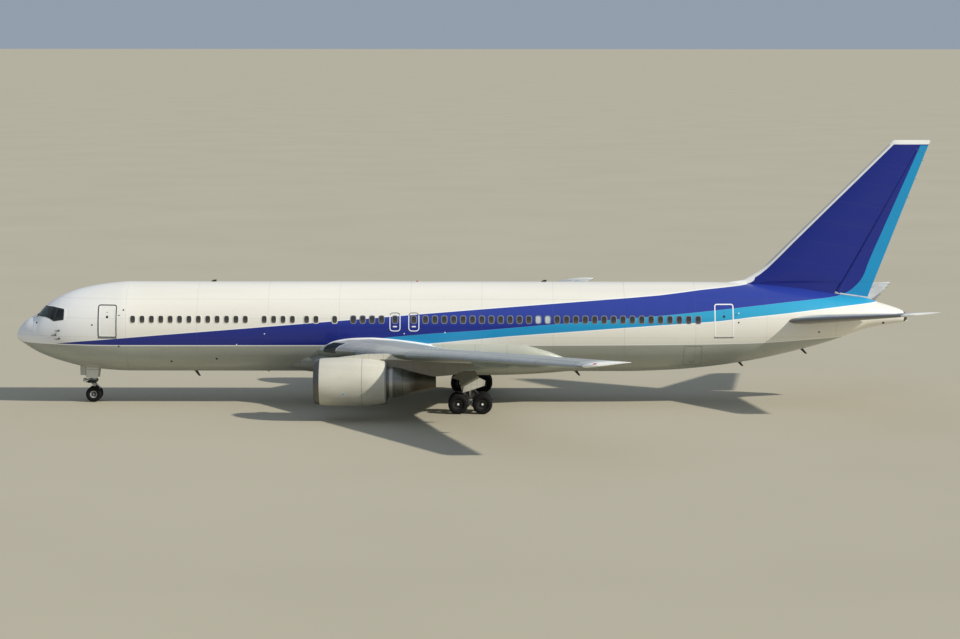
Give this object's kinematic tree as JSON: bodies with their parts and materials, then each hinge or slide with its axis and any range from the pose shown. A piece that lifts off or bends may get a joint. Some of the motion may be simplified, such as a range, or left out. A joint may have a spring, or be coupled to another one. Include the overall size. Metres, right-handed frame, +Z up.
{
  "type": "wide body airliner, 1:2 scale model",
  "caption": "Twin-engine wide body airliner on its landing gear, with slats, flaps, ailerons, spoilers, rudder, elevators, turning fans and wheels and a steered nose gear; 1:2 scale.",
  "frame": {"origin": "on the ground under the middle of the bounding box, the aircraft standing on its tyres", "axes": "+X aft along the fuselage from nose to tail, +Y to the starboard wing, +Z up"},
  "size_m": [27.47, 23.785, 7.92],
  "materials": {
    "white_paint": "gloss",
    "grey_paint": "satin",
    "blue_paint": "gloss",
    "glazing": "polished",
    "bare_metal": "polished",
    "hot_metal": "satin",
    "fan_metal": "satin",
    "gear_paint": "gloss",
    "hub_paint": "satin",
    "tyre": "matt"
  },
  "bodies": {
    "airframe": {"radome": "white_paint", "nose_fuselage": "white_paint", "flight_deck_glazing": "glazing", "cabin_fuselage": "white_paint", "aft_fuselage": "white_paint", "tail_cone": "white_paint", "belly_fairing": "grey_paint", "wing_starboard": "grey_paint", "wing_port": "grey_paint", "pylon_starboard": "white_paint", "pylon_port": "white_paint", "nacelle_starboard": "white_paint", "nacelle_port": "white_paint", "engine_core_starboard": "hot_metal", "engine_core_port": "hot_metal", "fin": "blue_paint", "nose_gear_leg": "gear_paint", "nose_gear_door_starboard": "white_paint", "nose_gear_door_port": "white_paint", "main_gear_leg_starboard": "gear_paint", "main_gear_leg_port": "gear_paint", "main_gear_door_starboard": "grey_paint", "main_gear_door_port": "grey_paint"},
    "slat_inboard_starboard": {"slat_inboard_starboard": "bare_metal"},
    "slat_inboard_port": {"slat_inboard_port": "bare_metal"},
    "slat_outboard_starboard": {"slat_outboard_starboard": "bare_metal"},
    "slat_outboard_port": {"slat_outboard_port": "bare_metal"},
    "flap_inboard_starboard": {"flap_inboard_starboard": "grey_paint"},
    "flap_inboard_port": {"flap_inboard_port": "grey_paint"},
    "flap_outboard_starboard": {"flap_outboard_starboard": "grey_paint"},
    "flap_outboard_port": {"flap_outboard_port": "grey_paint"},
    "aileron_inboard_starboard": {"aileron_inboard_starboard": "grey_paint"},
    "aileron_inboard_port": {"aileron_inboard_port": "grey_paint"},
    "aileron_outboard_starboard": {"aileron_outboard_starboard": "grey_paint"},
    "aileron_outboard_port": {"aileron_outboard_port": "grey_paint"},
    "spoiler_starboard": {"spoiler_starboard": "grey_paint"},
    "spoiler_port": {"spoiler_port": "grey_paint"},
    "stabiliser": {"stabiliser": "grey_paint"},
    "elevator_starboard": {"elevator_starboard": "grey_paint"},
    "elevator_port": {"elevator_port": "grey_paint"},
    "rudder": {"rudder": "blue_paint"},
    "fan_starboard": {"fan_starboard": "fan_metal"},
    "main_wheels_front_starboard": {"main_wheels_front_starboard": "hub_paint", "main_tyre_front_inner_starboard": "tyre", "main_tyre_front_outer_starboard": "tyre"},
    "main_wheels_rear_starboard": {"main_wheels_rear_starboard": "hub_paint", "main_tyre_rear_inner_starboard": "tyre", "main_tyre_rear_outer_starboard": "tyre"},
    "fan_port": {"fan_port": "fan_metal"},
    "main_wheels_front_port": {"main_wheels_front_port": "hub_paint", "main_tyre_front_inner_port": "tyre", "main_tyre_front_outer_port": "tyre"},
    "main_wheels_rear_port": {"main_wheels_rear_port": "hub_paint", "main_tyre_rear_inner_port": "tyre", "main_tyre_rear_outer_port": "tyre"},
    "nose_steering": {"nose_gear_steering": "gear_paint"},
    "nose_wheels": {"nose_gear_wheels": "hub_paint", "nose_tyre_starboard": "tyre", "nose_tyre_port": "tyre"}
  },
  "joints": [
    {"name": "slat_inboard_starboard", "type": "hinge", "parent": "airframe", "child": "slat_inboard_starboard", "pos_m": [-2.181, 1.95, 0.95755], "axis": [-0.3879, -0.909, -0.1528], "range_deg": [0, 18]},
    {"name": "slat_inboard_port", "type": "hinge", "parent": "airframe", "child": "slat_inboard_port", "pos_m": [-2.181, -1.95, 0.95755], "axis": [0.3879, -0.909, 0.1528], "range_deg": [0, 18]},
    {"name": "slat_outboard_starboard", "type": "hinge", "parent": "airframe", "child": "slat_outboard_starboard", "pos_m": [-1.14966, 4.25, 1.35202], "axis": [-0.5093, -0.8531, -0.1132], "range_deg": [0, 18]},
    {"name": "slat_outboard_port", "type": "hinge", "parent": "airframe", "child": "slat_outboard_port", "pos_m": [-1.14966, -4.25, 1.35202], "axis": [0.5093, -0.8531, 0.1132], "range_deg": [0, 18]},
    {"name": "flap_inboard_starboard", "type": "hinge", "parent": "airframe", "child": "flap_inboard_starboard", "pos_m": [-0.17817, 1.45, 1.14776], "axis": [0.0153, 0.9908, 0.1348], "range_deg": [0, 30]},
    {"name": "flap_inboard_port", "type": "hinge", "parent": "airframe", "child": "flap_inboard_port", "pos_m": [-0.17817, -1.45, 1.14776], "axis": [-0.0153, 0.9908, -0.1348], "range_deg": [0, 30]},
    {"name": "flap_outboard_starboard", "type": "hinge", "parent": "airframe", "child": "flap_outboard_starboard", "pos_m": [0.05261, 4.575, 1.57047], "axis": [0.4524, 0.8839, 0.1184], "range_deg": [0, 30]},
    {"name": "flap_outboard_port", "type": "hinge", "parent": "airframe", "child": "flap_outboard_port", "pos_m": [0.05261, -4.575, 1.57047], "axis": [-0.4524, 0.8839, -0.1184], "range_deg": [0, 30]},
    {"name": "aileron_inboard_starboard", "type": "hinge", "parent": "airframe", "child": "aileron_inboard_starboard", "pos_m": [0.21483, 3.59, 1.763], "axis": [-0.1849, -0.9734, -0.1356], "range_deg": [-20, 20]},
    {"name": "aileron_inboard_port", "type": "hinge", "parent": "airframe", "child": "aileron_inboard_port", "pos_m": [0.21483, -3.59, 1.763], "axis": [-0.1849, 0.9734, -0.1356], "range_deg": [-20, 20]},
    {"name": "aileron_outboard_starboard", "type": "hinge", "parent": "airframe", "child": "aileron_outboard_starboard", "pos_m": [2.39172, 8.8, 2.38054], "axis": [-0.4295, -0.8991, -0.0848], "range_deg": [-15, 30]},
    {"name": "aileron_outboard_port", "type": "hinge", "parent": "airframe", "child": "aileron_outboard_port", "pos_m": [2.39172, -8.8, 2.38054], "axis": [-0.4295, 0.8991, -0.0848], "range_deg": [-30, 15]},
    {"name": "spoiler_starboard", "type": "hinge", "parent": "airframe", "child": "spoiler_starboard", "pos_m": [0.09182, 4.90152, 2.09835], "axis": [-0.4616, -0.8833, -0.082], "range_deg": [0, 60]},
    {"name": "spoiler_port", "type": "hinge", "parent": "airframe", "child": "spoiler_port", "pos_m": [0.09182, -4.90152, 2.09835], "axis": [0.4616, -0.8833, 0.082], "range_deg": [0, 60]},
    {"name": "stabiliser_trim", "type": "hinge", "parent": "airframe", "child": "stabiliser", "pos_m": [10.84, 0, 2.6375], "axis": [0, -1, 0], "range_deg": [-2, 12]},
    {"name": "elevator_starboard", "type": "hinge", "parent": "stabiliser", "child": "elevator_starboard", "pos_m": [11.22314, 0.82, 2.67041], "axis": [-0.4243, -0.8972, -0.1226], "range_deg": [-20, 28]},
    {"name": "elevator_port", "type": "hinge", "parent": "stabiliser", "child": "elevator_port", "pos_m": [11.22314, -0.82, 2.67041], "axis": [0.4243, -0.8972, 0.1226], "range_deg": [-20, 28]},
    {"name": "rudder_hinge", "type": "hinge", "parent": "airframe", "child": "rudder", "pos_m": [11.0205, 0, 3.345], "axis": [0.4781, 0, 0.8783], "range_deg": [-26, 26]},
    {"name": "fan_spin_starboard", "type": "hinge", "parent": "airframe", "child": "fan_starboard", "pos_m": [-3.835, 3.96, 1.125], "axis": [1, 0, 0], "continuous": true},
    {"name": "main_wheels_front_starboard_spin", "type": "hinge", "parent": "airframe", "child": "main_wheels_front_starboard", "pos_m": [-0.37, 2.325, 0.2925], "axis": [0, 1, 0], "continuous": true},
    {"name": "main_wheels_rear_starboard_spin", "type": "hinge", "parent": "airframe", "child": "main_wheels_rear_starboard", "pos_m": [0.34, 2.325, 0.2925], "axis": [0, 1, 0], "continuous": true},
    {"name": "fan_spin_port", "type": "hinge", "parent": "airframe", "child": "fan_port", "pos_m": [-3.835, -3.96, 1.125], "axis": [1, 0, 0], "continuous": true},
    {"name": "main_wheels_front_port_spin", "type": "hinge", "parent": "airframe", "child": "main_wheels_front_port", "pos_m": [-0.37, -2.325, 0.2925], "axis": [0, 1, 0], "continuous": true},
    {"name": "main_wheels_rear_port_spin", "type": "hinge", "parent": "airframe", "child": "main_wheels_rear_port", "pos_m": [0.34, -2.325, 0.2925], "axis": [0, 1, 0], "continuous": true},
    {"name": "nose_steering_turn", "type": "hinge", "parent": "airframe", "child": "nose_steering", "pos_m": [-11.425, 0, 0.51], "axis": [0, 0, 1], "range_deg": [-65, 65]},
    {"name": "nose_wheels_spin", "type": "hinge", "parent": "nose_steering", "child": "nose_wheels", "pos_m": [-11.425, 0, 0.235], "axis": [0, 1, 0], "continuous": true}
  ]
}
